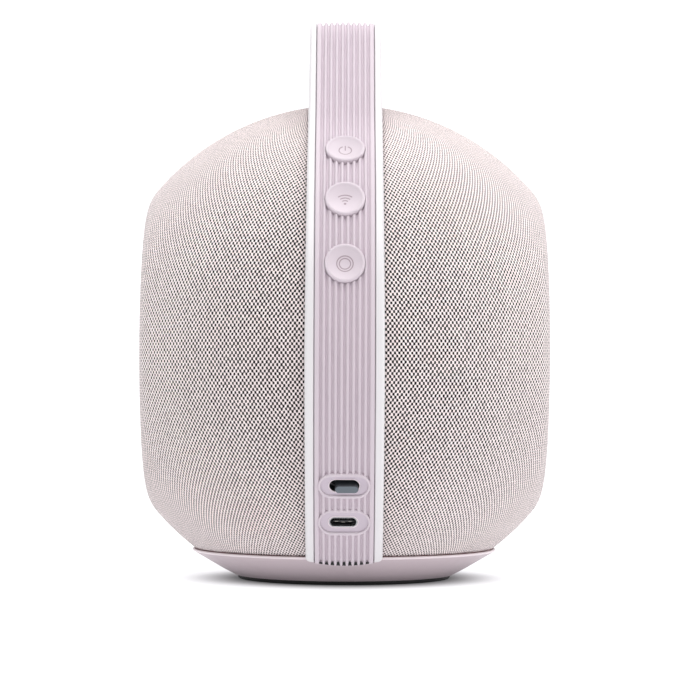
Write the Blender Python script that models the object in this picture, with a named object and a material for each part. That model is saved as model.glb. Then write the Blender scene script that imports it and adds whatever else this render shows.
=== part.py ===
"""Portable splash-proof speaker: a fabric-covered ball with flattened sides, held in an upright hoop.

The hoop carries a ribbed rubber strip from the rear foot over the carrying handle to the front foot.
The rear of the strip holds three push buttons, a microphone slide switch and a USB-C socket.
Frame: origin on the floor under the ball's centre, +Z up, -Y is the rear with the controls.
Every length below is written in millimetres and scaled by MM when it becomes geometry.
"""

import math

import bmesh
import bpy
from mathutils import Quaternion, Vector

MM = 0.001

# --- driving dimensions, mm and degrees ---------------------------------------------------------
BODY_R = 83.2  # ball radius over the fabric
HALF_WIDTH = 68.1  # from the middle plane to the crown of a side cap
CAP_EDGE_R = 50.5  # radius of the edge between the ball and a side cap
CENTRE_Z = 76.6  # height of the ball's centre above the floor
HOOP_R = 88.0  # hoop radius over the ribs
HANDLE_TOP = 111.0  # top of the handle above the ball's centre
GAP = 0.3  # clearance between touching pieces
SEAM_Z = 10.2  # height of the seam between fabric and base
BASE_STEPS = 40

FABRIC_T = 0.8
GRILLE_T = 1.7
GRILLE_SPOKES = 6
CABINET_INSET = 4.1
CABINET_T = 3.4
SHELL_START_X = 11.9  # where the shells begin, just under the hoop's edge
SHELL_STEPS = 28

# --- hoop outline, as seen from the side --------------------------------------------------------
HOOP_FOOT_ANGLE = -51.7
NECK_ANGLE = 54.0  # where the hoop leaves the ball
NECK_R = 35.0  # hollow curve between ball and handle
LEG_ANGLE = 37.0  # direction the handle's leg faces
SHOULDER_R = 14.0
CROWN_ANGLE = 82.0  # where the shoulder runs into the flat top
HANDLE_T = 6.5

# --- hoop cross-section -------------------------------------------------------------------------
FRAME_HALF = 12.5
FRAME_TAPER_UP = 0.7  # how much narrower each side is at the handle's top
FRAME_TAPER_DOWN = 0.2
STRIP_HALF = 9.3
STRIP_T = 2.3
CHANNEL_DEPTH = 2.6
STRIP_CROWN = 0.45

# --- controls: angle above the rear horizon ------------------------------------------------------
BUTTON_ANGLES = {"power_button": 47.0, "pairing_button": 32.8, "link_button": 17.9}
BUTTON_R = 6.35
BUTTON_HOLE_R = 6.65
BUTTON_BASE = -1.5
STEM_R = 2.2
STEM_END = -4.3
SWITCH_ANGLE = -29.0
PORT_ANGLE = -38.2
PORT_RIM_FACING = -28.0  # the port's rim and recess face a little higher than the hoop around them
SOCKET_FACING = -16.6  # direction in which the charging plug goes in and out
SOCKET_X = -0.3
SWITCH_RIM, SWITCH_RECESS = (8.25, 4.5), (7.4, 3.25)
PORT_RIM, PORT_RECESS = (8.25, 4.75), (7.5, 3.5)
PILL_RIM_BASE = -1.6
PILL_RIM_TOP = 0.15
RECESS_FLOOR = -0.45
SLOT_HALF = (4.75, 2.2)
KNOB_HALF = (3.7, 1.3)
KNOB_LOW = 0.4
KNOB_REST_X = 0.75
KNOB_HEIGHTS = (-5.0, 1.3)
USB_HALF = (4.47, 1.63)  # outer half sizes of a USB-C receptacle
USB_WALL = 0.3
USB_DEPTH = 7.0  # how far the receptacle reaches behind the recess floor
USB_LIP = 0.25  # and how far it stands out of it

# --- chassis channel behind the hoop --------------------------------------------------------------
CHASSIS_HALF = 11.6
CHASSIS_WALL_X = 9.2
CHASSIS_OUT, CHASSIS_FLOOR, CHASSIS_IN = 82.2, 78.5, 76.0
BOARD_IN, BOARD_OUT = 78.9, 79.7
DEVICE_IN = 80.0

# --- drivers --------------------------------------------------------------------------------------
WOOFER_SIDES = {"left": -1, "right": 1}
FULLRANGE_ANGLE = 30.0  # from the front or rear axis towards the side
FULLRANGE_SPOTS = {
    "rear_left": (-1, -1),
    "rear_right": (1, -1),
    "front_left": (-1, 1),
    "front_right": (1, 1),
}
WOOFER_STEPS = 20
FULLRANGE_STEPS = 12

COLOURS = {
    "fabric": ((0.80, 0.69, 0.69), 0.9, 0.0),
    "frame": ((0.86, 0.83, 0.85), 0.32, 0.0),
    "rubber": ((0.72, 0.62, 0.68), 0.6, 0.0),
    "base": ((0.58, 0.48, 0.53), 0.35, 0.0),
    "black_rubber": ((0.02, 0.02, 0.022), 0.7, 0.0),
    "grey_plastic": ((0.14, 0.16, 0.19), 0.45, 0.0),
    "black_plastic": ((0.03, 0.03, 0.035), 0.5, 0.0),
    "cone": ((0.55, 0.56, 0.58), 0.35, 0.9),
    "steel": ((0.6, 0.6, 0.62), 0.3, 1.0),
    "board": ((0.03, 0.16, 0.09), 0.5, 0.0),
    "heatsink": ((0.5, 0.5, 0.52), 0.4, 0.9),
    "battery": ((0.12, 0.2, 0.42), 0.45, 0.0),
}


def clear_scene():
    for obj in list(bpy.data.objects):
        bpy.data.objects.remove(obj)


def material(key):
    """The Principled material of that key, made once."""
    found = bpy.data.materials.get(key)
    if found:
        return found
    colour, roughness, metallic = COLOURS[key]
    made = bpy.data.materials.new(key)
    made.use_nodes = True
    shader = made.node_tree.nodes["Principled BSDF"]
    shader.inputs["Base Color"].default_value = (*colour, 1.0)
    shader.inputs["Roughness"].default_value = roughness
    shader.inputs["Metallic"].default_value = metallic
    made.diffuse_color = (*colour, 1.0)
    return made


# --- mesh helpers -----------------------------------------------------------------------------------


def add_object(name, bm, key, parent, smooth_degrees=35.0):
    """Turns a bmesh in millimetres into a named, shaded object in metres under parent."""
    bmesh.ops.recalc_face_normals(bm, faces=bm.faces)
    bmesh.ops.scale(bm, vec=(MM, MM, MM), verts=bm.verts)
    mesh = bpy.data.meshes.new(name)
    bm.to_mesh(mesh)
    bm.free()
    mesh.shade_smooth()
    mesh.set_sharp_from_angle(angle=math.radians(smooth_degrees))
    obj = bpy.data.objects.new(name, mesh)
    bpy.context.scene.collection.objects.link(obj)
    obj.parent = parent
    if key:
        mesh.materials.append(material(key))
    else:
        obj.hide_render = True
        obj.display_type = "WIRE"
    return obj


def turned_bmesh(profile, steps):
    """Spins (radius, height) points about Z. Points on the axis close the shape there."""
    bm = bmesh.new()
    verts = [bm.verts.new((radius, 0.0, height)) for radius, height in profile]
    pairs = list(zip(verts, verts[1:]))
    if profile[0][0] > 0 or profile[-1][0] > 0:
        pairs.append((verts[-1], verts[0]))
    edges = [bm.edges.new(pair) for pair in pairs]
    bmesh.ops.spin(
        bm,
        geom=verts + edges,
        cent=(0, 0, 0),
        axis=(0, 0, 1),
        angle=math.tau,
        steps=steps,
        use_merge=True,
    )
    bmesh.ops.remove_doubles(bm, verts=bm.verts, dist=1e-4)
    return bm


def turned(name, profile, steps, key, parent):
    return add_object(name, turned_bmesh(profile, steps), key, parent)


def loft(name, loops, key, parent):
    """Joins equal rings of points with faces and closes both ends."""
    bm = bmesh.new()
    rings = [[bm.verts.new(point) for point in loop] for loop in loops]
    count = len(rings[0])
    for ring, following in zip(rings, rings[1:]):
        for i in range(count):
            j = (i + 1) % count
            bm.faces.new((ring[i], ring[j], following[j], following[i]))
    bm.faces.new(rings[0])
    bm.faces.new(rings[-1])
    return add_object(name, bm, key, parent)


def prism(name, outline, low, high, key, parent):
    """Extrudes an (x, y) outline from height low to height high."""
    loops = [[(x, y, height) for x, y in outline] for height in (low, high)]
    return loft(name, loops, key, parent)


def pill_outline(half_length, half_height, arc_steps=5):
    """Outline with half-round ends, its long side along X."""
    reach = half_length - half_height
    points = []
    for side, first in ((1, -90), (-1, 90)):
        for i in range(arc_steps + 1):
            turn = math.radians(first + 180 * i / arc_steps)
            points.append((side * reach + half_height * math.cos(turn), half_height * math.sin(turn)))
    return points


def block_outline(half_x, half_y):
    return [(-half_x, -half_y), (half_x, -half_y), (half_x, half_y), (-half_x, half_y)]


def boolean(target, operation, *others):
    for other in others:
        modifier = target.modifiers.new(f"{operation.lower()}_{other.name}", "BOOLEAN")
        modifier.operation = operation
        modifier.object = other


def cut(target, *cutters):
    boolean(target, "DIFFERENCE", *cutters)


def hide_helper(obj):
    obj.hide_render = True
    obj.display_type = "WIRE"
    return obj


# --- places on the ball -----------------------------------------------------------------------------


def on_ring(angle, x, radius):
    """Point in the ball's frame at that angle above the rear horizon, distance x off the middle plane."""
    turn = math.radians(angle)
    return (x, -radius * math.cos(turn), radius * math.sin(turn))


def stand_on_hoop(obj, angle, x=0.0, facing=None, height=0.0):
    """Puts obj's origin on the hoop, at a height over its outer line, with its X along the world's X.

    Its Z points outwards, or at the facing angle above the rear horizon where one is given.
    """
    obj.location = Vector(on_ring(angle, x, HOOP_R + height)) * MM
    obj.rotation_euler = (math.radians(90.0 - (angle if facing is None else facing)), 0.0, 0.0)
    return obj


def ring_loft(name, section, start, end, steps, key, parent):
    """Sweeps a closed (x, radius) section round the X axis between two angles."""
    angles = [start + (end - start) * i / steps for i in range(steps + 1)]
    loops = [[on_ring(angle, x, radius) for x, radius in section] for angle in angles]
    return loft(name, loops, key, parent)


# --- hoop -------------------------------------------------------------------------------------------


def arc_points(centre, radius, start, end, steps, hollow=False):
    """(reach, height, facing) along an arc, its first point left out. A hollow arc faces its centre."""
    side = -1 if hollow else 1
    found = []
    for i in range(1, steps + 1):
        facing = start + (end - start) * i / steps
        turn = math.radians(facing)
        reach = centre[0] + side * radius * math.cos(turn)
        height = centre[1] + side * radius * math.sin(turn)
        found.append((reach, height, facing))
    return found


def half_hoop(ball_steps=13, neck_steps=2, shoulder_steps=3, crown_steps=1):
    """The hoop's outer line from its foot to the middle of the handle: (reach, height, facing)."""
    neck, leg, crown = (math.radians(a) for a in (NECK_ANGLE, LEG_ANGLE, CROWN_ANGLE))
    foot = math.radians(HOOP_FOOT_ANGLE)
    points = [(HOOP_R * math.cos(foot), HOOP_R * math.sin(foot), HOOP_FOOT_ANGLE)]
    points += arc_points((0, 0), HOOP_R, HOOP_FOOT_ANGLE, NECK_ANGLE, ball_steps)
    hub = HOOP_R + NECK_R
    neck_centre = (hub * math.cos(neck), hub * math.sin(neck))
    points += arc_points(neck_centre, NECK_R, NECK_ANGLE, LEG_ANGLE, neck_steps, hollow=True)
    reach, height, _ = points[-1]
    # The leg is as long as it takes for the crown to reach the handle's top.
    rise = (1 - math.sin(crown)) / math.cos(crown)
    shoulder_in = SHOULDER_R * (math.cos(leg) - math.cos(crown))
    shoulder_up = SHOULDER_R * (math.sin(crown) - math.sin(leg))
    missing = HANDLE_TOP - height - shoulder_up - rise * (reach - shoulder_in)
    length = missing / (math.cos(leg) - rise * math.sin(leg))
    leg_end = (reach - length * math.sin(leg), height + length * math.cos(leg))
    points.append((*leg_end, LEG_ANGLE))
    shoulder_centre = (leg_end[0] - SHOULDER_R * math.cos(leg), leg_end[1] - SHOULDER_R * math.sin(leg))
    points += arc_points(shoulder_centre, SHOULDER_R, LEG_ANGLE, CROWN_ANGLE, shoulder_steps)
    crown_r = points[-1][0] / math.cos(crown)
    points += arc_points((0, HANDLE_TOP - crown_r), crown_r, CROWN_ANGLE, 90.0, crown_steps)
    return points


def inner_depth(reach, height, facing):
    """How far inwards the frame goes: to the ball's fabric, or to the handle's own thickness."""
    turn = math.radians(facing)
    along = reach * math.cos(turn) + height * math.sin(turn)
    rest = along**2 - (reach**2 + height**2 - (BODY_R + GAP) ** 2)
    if rest <= 0:
        return HANDLE_T
    return min(HANDLE_T, along - math.sqrt(rest))


def frame_half(height):
    """Half width of the frame: it narrows a little towards the handle and towards its feet."""
    if height > 0:
        return FRAME_HALF - FRAME_TAPER_UP * height / HANDLE_TOP
    return FRAME_HALF + FRAME_TAPER_DOWN * height / HOOP_R


def frame_section(half, depth):
    """(x, height) loop of the frame: a channel for the strip between two rounded rims.

    Over the ball its underside is hollow and hugs the fabric; in the handle it is rounded off.
    """
    lip = STRIP_HALF + GAP
    on_ball = depth < HANDLE_T - 0.01
    corner, bend = (0.15, 1.0) if on_ball else (1.2, -0.3)
    sag = [bend * x**2 / (2 * BODY_R) for x in (half, half / 2)]
    right = [(lip, -0.5), (half - 0.9, -0.75), (half, -1.6), (half, corner - depth - sag[0])]
    right += [(half - corner, -depth - sag[0]), (half / 2, -depth - sag[1])]
    left = [(-x, height) for x, height in reversed(right)]
    return [(-lip, -CHANNEL_DEPTH), (lip, -CHANNEL_DEPTH), *right, *left]


def strip_section():
    """(x, height) loop of the strip: a slightly crowned face over a flat back."""
    face = [(STRIP_HALF * share, -STRIP_CROWN * share**2) for share in (1.0, 0.5, -0.5, -1.0)]
    return [(-STRIP_HALF, -STRIP_T), (STRIP_HALF, -STRIP_T), *face]


def hoop_loops(section_of):
    """Rings of points along the whole hoop. section_of(reach, height, facing) gives a ring's (x, height) loop."""
    rear = half_hoop()
    loops = []
    for side, stations in ((-1, rear), (1, rear[-2::-1])):
        for reach, height, facing in stations:
            turn = math.radians(facing)
            normal = (side * math.cos(turn), math.sin(turn))
            loop = section_of(reach, height, facing)
            loops.append([(x, side * reach + h * normal[0], height + h * normal[1]) for x, h in loop])
    return loops


def cut_control(tag, angle, rims, opening, frame, strip, ball):
    """A raised rim on the strip with a recess inside it, and an opening through the strip and the frame.

    rims is the facing and the outer and inner pill of the rim; opening is its x, its facing and its pill.
    """
    rim_facing, outer, inner = rims
    opening_x, opening_facing, opening_half = opening
    rim = prism(f"rim_{tag}", pill_outline(*outer), PILL_RIM_BASE, PILL_RIM_TOP, "rubber", ball)
    recess = prism(f"recess_{tag}", pill_outline(*inner), RECESS_FLOOR, 3.0, None, ball)
    through = prism(f"through_{tag}", pill_outline(*opening_half), -8.0, 4.0, None, ball)
    for helper in (rim, recess):
        stand_on_hoop(hide_helper(helper), angle, facing=rim_facing)
    stand_on_hoop(hide_helper(through), angle, opening_x, opening_facing, RECESS_FLOOR)
    boolean(strip, "UNION", rim)
    cut(strip, recess, through)
    cut(frame, through)


def make_hoop(ball):
    """The rigid frame, and the ribbed strip in its channel with the rims and recesses of the two controls."""
    frame = loft(
        "handle_frame",
        hoop_loops(lambda r, h, f: frame_section(frame_half(h), inner_depth(r, h, f))),
        "frame",
        ball,
    )
    strip = loft("grip_strip", hoop_loops(lambda r, h, f: strip_section()), "rubber", ball)
    socket_hole = (USB_HALF[0] + GAP, USB_HALF[1] + GAP)
    switch_rims = (SWITCH_ANGLE, SWITCH_RIM, SWITCH_RECESS)
    port_rims = (PORT_RIM_FACING, PORT_RIM, PORT_RECESS)
    cut_control("switch", SWITCH_ANGLE, switch_rims, (0.0, SWITCH_ANGLE, SLOT_HALF), frame, strip, ball)
    cut_control("port", PORT_ANGLE, port_rims, (SOCKET_X, SOCKET_FACING, socket_hole), frame, strip, ball)
    for name, angle in BUTTON_ANGLES.items():
        around_button = [(0, -3), (BUTTON_HOLE_R, -3), (BUTTON_HOLE_R, 3), (0, 3)]
        around_stem = [(0, -6), (STEM_R + 0.5, -6), (STEM_R + 0.5, 1), (0, 1)]
        hole = turned(f"hole_{name}", around_button, 16, None, ball)
        stem_hole = turned(f"stem_{name}", around_stem, 12, None, ball)
        stand_on_hoop(hole, angle)
        stand_on_hoop(stem_hole, angle)
        cut(strip, hole)
        cut(frame, stem_hole)
    for name, angle in HOOP_SCREWS.items():
        hole = turned(f"hole_{name}", [(0, -15), (1.5, -15), (1.5, -2.4), (0, -2.4)], 10, None, ball)
        stand_on_hoop(hole, angle)
        cut(frame, hole)
        cut(bpy.data.objects["chassis_ring"], hole)


HOOP_SCREWS = {
    "hoop_screw_rear_low": -46.0,
    "hoop_screw_rear_high": 56.0,
    "hoop_screw_front_high": 130.0,
    "hoop_screw_front_low": 222.0,
}


def make_screw(name, head_r, head, shank_r, shank, parent):
    """A pan-head screw turned about Z: head and shank are (low, high) heights."""
    if shank[1] > head[1]:
        profile = [(0, head[0]), (head_r, head[0]), (head_r, head[1])]
        profile += [(shank_r, head[1]), (shank_r, shank[1])]
        profile.append((0, shank[1]))
    else:
        profile = [(0, shank[0]), (shank_r, shank[0]), (shank_r, head[0])]
        profile += [(head_r, head[0]), (head_r, head[1])]
        profile.append((0, head[1]))
    return turned(name, profile, 12, "steel", parent)


def make_hoop_screws(ball):
    for name, angle in HOOP_SCREWS.items():
        screw = make_screw(name, 2.4, (-14.6, -12.3), 1.2, (-12.3, -2.9), ball)
        stand_on_hoop(screw, angle)


# --- controls ---------------------------------------------------------------------------------------


def make_buttons(ball):
    """Dished caps with a raised rim. Each one's stem reaches through the frame to its dome switch."""
    dish = [(0, -0.75), (2.9, -0.5), (4.8, 0.0), (5.5, 0.4), (5.95, 0.5), (BUTTON_R, 0.25)]
    back = [(BUTTON_R, BUTTON_BASE), (STEM_R, BUTTON_BASE), (STEM_R, STEM_END), (0, STEM_END)]
    for name, angle in BUTTON_ANGLES.items():
        cap = turned(name, dish + back, 16, "rubber", ball)
        stand_on_hoop(cap, angle)
        switch = prism(
            name.replace("button", "dome_switch"),
            block_outline(3.0, 3.0),
            DEVICE_IN - HOOP_R,
            DEVICE_IN + 2.7 - HOOP_R,
            "black_plastic",
            ball,
        )
        stand_on_hoop(switch, angle)


def make_mic_switch(ball):
    knob = prism("mic_switch_knob", pill_outline(*KNOB_HALF), *KNOB_HEIGHTS, "grey_plastic", ball)
    stand_on_hoop(knob, SWITCH_ANGLE - math.degrees(KNOB_LOW / HOOP_R), KNOB_REST_X, facing=SWITCH_ANGLE)
    body_low, body_high = DEVICE_IN - HOOP_R, DEVICE_IN + 2.7 - HOOP_R
    body = prism("mic_switch_body", block_outline(5.5, 2.4), body_low, body_high, "black_plastic", ball)
    stand_on_hoop(body, SWITCH_ANGLE)


def make_usb_socket(ball):
    """A USB-C receptacle: a steel shell closed at the back, with the tongue standing inside it."""
    low, mouth = -USB_DEPTH, USB_LIP
    shell = prism("usb_c_shell", pill_outline(*USB_HALF), low, mouth, "steel", ball)
    cavity_half = (USB_HALF[0] - USB_WALL, USB_HALF[1] - USB_WALL)
    cavity = prism("usb_cavity", pill_outline(*cavity_half), low + 0.6, mouth + 1.0, None, ball)
    tongue = prism("usb_c_tongue", block_outline(3.35, 0.35), low + 0.9, mouth - 1.0, "black_plastic", ball)
    for piece in (shell, cavity, tongue):
        stand_on_hoop(piece, PORT_ANGLE, SOCKET_X, SOCKET_FACING, RECESS_FLOOR)
    cut(shell, cavity)


# --- chassis and electronics behind the hoop ----------------------------------------------------------


def make_chassis(ball):
    """The channel-shaped ring that the hoop, boards and cabinet halves are fastened to."""
    outer, wall = CHASSIS_HALF, CHASSIS_WALL_X
    section = [(-outer, CHASSIS_IN), (outer, CHASSIS_IN), (outer, CHASSIS_OUT), (wall, CHASSIS_OUT)]
    section += [(wall, CHASSIS_FLOOR), (-wall, CHASSIS_FLOOR), (-wall, CHASSIS_OUT), (-outer, CHASSIS_OUT)]
    ring_loft("chassis_ring", section, -49.0, 229.0, 32, "black_plastic", ball)
    plate = [(-8.6, BOARD_IN), (8.6, BOARD_IN), (8.6, BOARD_OUT), (-8.6, BOARD_OUT)]
    ring_loft("rear_flex_board", plate, -42.5, 51.5, 11, "board", ball)
    ring_loft("touch_board", plate, 68.0, 112.0, 8, "board", ball)


def make_top_panel(ball):
    """The touch strip over the crown of the ball, under the handle, with its two microphones."""
    section = [(-11.6, 83.5), (11.6, 83.5), (11.6, 84.4), (11.0, 84.8), (-11.0, 84.8), (-11.6, 84.4)]
    panel = ring_loft("top_touch_panel", section, 64.5, 115.5, 14, "rubber", ball)
    for side, tag in ((-1, "left"), (1, "right")):
        microphone = prism(f"microphone_{tag}", block_outline(1.5, 1.0), -8.0, -6.9, "steel", ball)
        port = turned(f"port_{tag}", [(0, -6), (0.5, -6), (0.5, 0), (0, 0)], 8, None, ball)
        for piece in (microphone, port):
            stand_on_hoop(piece, 90.0, side * 6.5)
        cut(panel, port)


# --- shells ---------------------------------------------------------------------------------------------


def cap_radius():
    edge_x = math.sqrt(BODY_R**2 - CAP_EDGE_R**2)
    sagitta = HALF_WIDTH - edge_x
    return (CAP_EDGE_R**2 + sagitta**2) / (2 * sagitta)


def side_line(inset, start_x, ball_points=5, cap_points=2):
    """(radius, x) points of the body's outline moved inwards: along the ball, then over the side cap."""
    ball_r, cap_r = BODY_R - inset, cap_radius() - inset
    cap_centre = HALF_WIDTH - cap_radius()
    edge_x = (ball_r**2 - cap_r**2 + cap_centre**2) / (2 * cap_centre)
    start = math.acos(start_x / ball_r)
    end = math.acos(edge_x / ball_r)
    line = []
    for i in range(ball_points):
        turn = start + (end + 0.03 - start) * i / (ball_points - 1)
        line.append((ball_r * math.sin(turn), ball_r * math.cos(turn)))
    edge_r = ball_r * math.sin(end)
    for i in range(cap_points + 1):
        radius = (edge_r - 2.0) * (1 - i / cap_points)
        line.append((radius, cap_centre + math.sqrt(cap_r**2 - radius**2)))
    return line


def side_shell(name, inset, thickness, side, bottom_z, key, ball):
    """A cup covering one side of the ball, open towards the hoop and cut flat at the bottom."""
    outer = side_line(inset, SHELL_START_X)
    inner = side_line(inset + thickness, SHELL_START_X)
    shell = turned(name, list(reversed(outer)) + inner, SHELL_STEPS, key, ball)
    face_sideways(shell, side)
    cut_below(shell, bottom_z, ball)
    return shell


def face_sideways(obj, side, spin=0.0):
    """Turns an object made about Z so that its axis points to the left or right, after a spin in degrees."""
    sideways = Quaternion((0, 1, 0), side * math.pi / 2)
    obj.rotation_mode = "QUATERNION"
    obj.rotation_quaternion = sideways @ Quaternion((0, 0, 1), math.radians(spin))
    return obj


def wedge_outline(inner_r, outer_r, pitch, rib):
    """Outline of a window between two spokes: pitch is the angle from spoke to spoke, rib a spoke's width."""
    points = []
    for radius, shares in ((inner_r, (-1, 1)), (outer_r, (1, 0.33, -0.33, -1))):
        reach = math.radians(pitch / 2) - math.asin(rib / 2 / radius)
        points += [(radius * math.cos(reach * share), radius * math.sin(reach * share)) for share in shares]
    return points


def cut_below(obj, height, ball):
    """Cuts away what lies lower than height above the floor."""
    top = height - CENTRE_Z
    cut(obj, prism(f"below_{obj.name}", block_outline(100, 100), top - 60, top, None, ball))


def make_grilles(ball):
    """Rigid perforated cups under the fabric: open over the woofer and over the two small drivers."""
    for tag, side in WOOFER_SIDES.items():
        grille = side_shell(
            f"grille_{tag}", FABRIC_T + GAP, GRILLE_T, side, SEAM_Z + 0.6, "black_plastic", ball
        )
        for i in range(GRILLE_SPOKES):
            wedge = wedge_outline(9.0, 37.0, 360 / GRILLE_SPOKES, 3.0)
            window = prism(f"woofer_window_{tag}_{i}", wedge, 50.0, 80.0, None, ball)
            face_sideways(window, side, 360 * i / GRILLE_SPOKES)
            cut(grille, window)
        for spot, (sx, sy) in FULLRANGE_SPOTS.items():
            if sx == side:
                window = turned(f"window_{spot}", [(0, 60), (14.0, 60), (14.0, 95), (0, 95)], 12, None, ball)
                aim(window, sx, sy)
                cut(grille, window)


def make_fabrics(ball):
    for tag, side in WOOFER_SIDES.items():
        side_shell(f"fabric_{tag}", 0.0, FABRIC_T, side, SEAM_Z + GAP, "fabric", ball)


def aim(obj, sx, sy):
    """Points an object's Z along a small driver's axis."""
    turn = math.radians(FULLRANGE_ANGLE)
    direction = Vector((sx * math.sin(turn), sy * math.cos(turn), 0.0))
    obj.rotation_mode = "QUATERNION"
    obj.rotation_quaternion = direction.to_track_quat("Z", "Y")
    return obj


def make_cabinets(ball):
    """Half shells of the sealed enclosure, each with a seat for a woofer and for two small drivers."""
    outer_r, inner_r = BODY_R - CABINET_INSET, BODY_R - CABINET_INSET - CABINET_T
    start_x = 12.0

    def ball_line(radius, end_x, points):
        first, last = math.acos(start_x / radius), math.acos(end_x / radius)
        turns = [first + (last - first) * i / (points - 1) for i in range(points)]
        return [(radius * math.sin(t), radius * math.cos(t)) for t in turns]

    seat = [(48.5, 60.5), (48.5, 57.8), (41.0, 57.8), (41.0, 54.8)]
    profile = ball_line(outer_r, 60.5, 5) + seat + list(reversed(ball_line(inner_r, 54.8, 4)))
    for tag, side in WOOFER_SIDES.items():
        cabinet = turned(f"cabinet_{tag}", profile, WOOFER_STEPS, "black_plastic", ball)
        face_sideways(cabinet, side)
        for spot, (sx, sy) in FULLRANGE_SPOTS.items():
            if sx != side:
                continue
            stepped = [(0, 60), (17.8, 60), (17.8, 74.9), (20.8, 74.9), (20.8, 92), (0, 92)]
            seat_cut = turned(f"seat_{spot}", stepped, FULLRANGE_STEPS, None, ball)
            aim(seat_cut, sx, sy)
            cut(cabinet, seat_cut)
        cut_below(cabinet, 12.6, ball)


# --- drivers --------------------------------------------------------------------------------------------


def half_roll(half_width, rise, steps):
    """(radius, height) points over the surround's half-round roll."""
    turns = [math.pi * i / steps for i in range(steps + 1)]
    return [(34.8 - half_width * math.cos(t), 57.2 + rise * math.sin(t)) for t in turns]


def make_woofer(tag, side, ball):
    """One side-firing woofer: basket, magnet, rubber surround, and the cone with its voice-coil former."""
    basket_line = [(48.0, 58.1), (40.4, 58.1), (40.0, 54.0), (23.5, 34.3), (14.0, 34.3), (14.0, 36.0)]
    basket_line += [(22.3, 36.0), (38.4, 54.6), (38.8, 60.4), (48.0, 60.4)]
    basket = turned(f"woofer_basket_{tag}", basket_line, WOOFER_STEPS, "steel", ball)
    face_sideways(basket, side)
    for i in range(3):
        window = prism(f"basket_window_{tag}_{i}", block_outline(60, 5.5), 38.5, 51.5, None, ball)
        face_sideways(window, side, 60 * i)
        cut(basket, window)
    magnet = [(0, 22.0), (20.0, 22.0), (20.0, 34.0), (10.3, 34.0)]
    magnet += [(10.3, 26.0), (8.0, 26.0), (8.0, 34.0), (0, 34.0)]
    face_sideways(turned(f"woofer_magnet_{tag}", magnet, WOOFER_STEPS, "steel", ball), side)
    surround = half_roll(3.4, 3.0, 4) + list(reversed(half_roll(2.6, 2.2, 4)))
    face_sideways(turned(f"woofer_surround_{tag}", surround, WOOFER_STEPS, "black_rubber", ball), side)
    cone = [(0, 50.5), (9.0, 48.0), (31.0, 57.6), (31.0, 56.4), (9.5, 46.4)]
    cone += [(9.5, 33.0), (8.7, 33.0), (8.7, 46.6), (0, 49.3)]
    face_sideways(turned(f"woofer_cone_{tag}", cone, WOOFER_STEPS, "cone", ball), side)


def make_fullrange(spot, sx, sy, ball):
    """One small full-range driver on the cabinet's seat: basket with its frame, magnet and dished cone."""
    basket = [(20.4, 75.2), (16.9, 75.2), (12.5, 61.4), (8.0, 61.4), (8.0, 62.8), (11.6, 62.8), (15.6, 75.8)]
    basket += [(15.6, 76.6), (20.4, 77.0)]
    magnet = [(0, 50.0), (12.0, 50.0), (12.0, 61.1), (6.6, 61.1)]
    magnet += [(6.6, 56.0), (5.0, 56.0), (5.0, 61.1), (0, 61.1)]
    cone = [(0, 73.0), (5.5, 71.6), (14.9, 76.3), (14.9, 75.5)]
    cone += [(6.1, 70.8), (6.1, 60.0), (5.5, 60.0), (5.5, 70.9)]
    cone.append((0, 72.2))
    pieces = {"basket": (basket, "black_plastic"), "magnet": (magnet, "steel"), "cone": (cone, "cone")}
    for part, (profile, key) in pieces.items():
        aim(turned(f"fullrange_{part}_{spot}", profile, FULLRANGE_STEPS, key, ball), sx, sy)


# --- power and amplifier ----------------------------------------------------------------------------------


def make_electronics(ball):
    """Battery in its cradle at the bottom, amplifier board with its heatsink at the top."""
    prism("battery_pack", block_outline(21.0, 34.0), -59.0, -38.0, "battery", ball)
    cradle = prism("battery_cradle", block_outline(23.2, 36.2), -61.0, -44.0, "black_plastic", ball)
    cut(cradle, prism("cradle_pocket", block_outline(21.3, 34.3), -59.3, -40.0, None, ball))
    prism("amplifier_board", block_outline(25.0, 36.0), 50.0, 51.6, "board", ball)
    fins = [(-16.0, 0.0), (16.0, 0.0)]
    for i in range(7, 0, -1):
        x = -16.0 + 32.0 * i / 7
        fins += [(x, 9.0), (x - 1.8, 9.0), (x - 1.8, 2.0), (x - 32.0 / 7, 2.0)]
    fins[-1] = (-16.0, 2.0)
    loops = [[(x, y, 51.9 + z) for x, z in fins] for y in (-20.0, 20.0)]
    loft("amplifier_heatsink", loops, "heatsink", ball)
    tray = prism("board_tray", block_outline(27.0, 38.0), 47.0, 49.7, "black_plastic", ball)
    cut(tray, prism("tray_window", block_outline(17.0, 28.0), 40.0, 55.0, None, ball))


# --- base ---------------------------------------------------------------------------------------------------


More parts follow.
